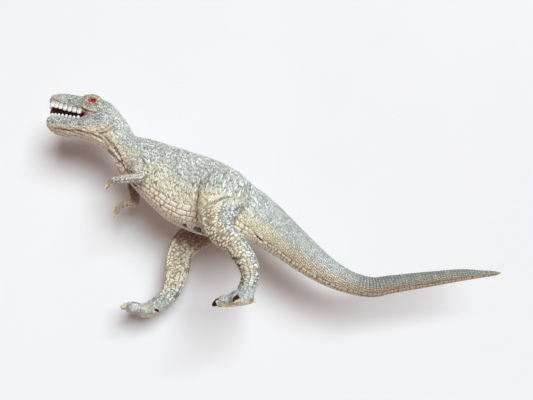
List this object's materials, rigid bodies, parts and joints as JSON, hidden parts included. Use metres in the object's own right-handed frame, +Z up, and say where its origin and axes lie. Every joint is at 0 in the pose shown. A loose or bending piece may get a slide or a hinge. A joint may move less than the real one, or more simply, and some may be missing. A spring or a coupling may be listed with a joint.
{
  "type": "toy dinosaur figure",
  "caption": "Open-mouthed two-legged dinosaur in hollow soft vinyl, striding, with a long curved tail, small arms, and head, tail, arms and legs that swivel on snap plugs.",
  "frame": {"origin": "centre of the bounding box, on the surface that the figure stands on", "axes": "+X towards the tip of the tail and -X towards the snout, +Y towards the figure's right side, +Z up"},
  "size_m": [0.2782, 0.0612, 0.1516],
  "materials": {
    "body_vinyl": "grey-green spray over cream vinyl, brown in the belly creases, satin",
    "head_vinyl": "grey-green spray over cream vinyl, red-black mouth, white teeth, red eyes",
    "tail_vinyl": "grey-green spray over cream vinyl, cream and brown underside",
    "limb_vinyl": "grey-green spray over cream vinyl, black and cream claws"
  },
  "bodies": {
    "torso": {"body_shell": "body_vinyl"},
    "head": {"head_and_neck": "head_vinyl"},
    "tail": {"tail": "tail_vinyl"},
    "arm_left": {"left_arm": "limb_vinyl"},
    "arm_right": {"right_arm": "limb_vinyl"},
    "leg_left": {"left_leg": "limb_vinyl"},
    "leg_right": {"right_leg": "limb_vinyl"}
  },
  "joints": [
    {"name": "neck_swivel", "type": "hinge", "parent": "torso", "child": "head", "pos_m": [-0.0869, -0.00047, 0.10934], "axis": [-0.6496, 0, 0.7603], "range_deg": [-40, 40]},
    {"name": "tail_swivel", "type": "hinge", "parent": "torso", "child": "tail", "pos_m": [-0.003, -0.00047, 0.05324], "axis": [0.8191, 0, -0.5737], "range_deg": [-30, 30]},
    {"name": "left_shoulder", "type": "hinge", "parent": "torso", "child": "arm_left", "pos_m": [-0.0755, -0.01067, 0.09134], "axis": [0, 1, 0], "range_deg": [-30, 60]},
    {"name": "right_shoulder", "type": "hinge", "parent": "torso", "child": "arm_right", "pos_m": [-0.0862, 0.00973, 0.09544], "axis": [0, 1, 0], "range_deg": [-30, 60]},
    {"name": "left_hip", "type": "hinge", "parent": "torso", "child": "leg_left", "pos_m": [-0.021, -0.01487, 0.06694], "axis": [0, 1, 0], "range_deg": [-40, 50]},
    {"name": "right_hip", "type": "hinge", "parent": "torso", "child": "leg_right", "pos_m": [-0.021, 0.01393, 0.06694], "axis": [0, 1, 0], "range_deg": [-70, 20]}
  ]
}
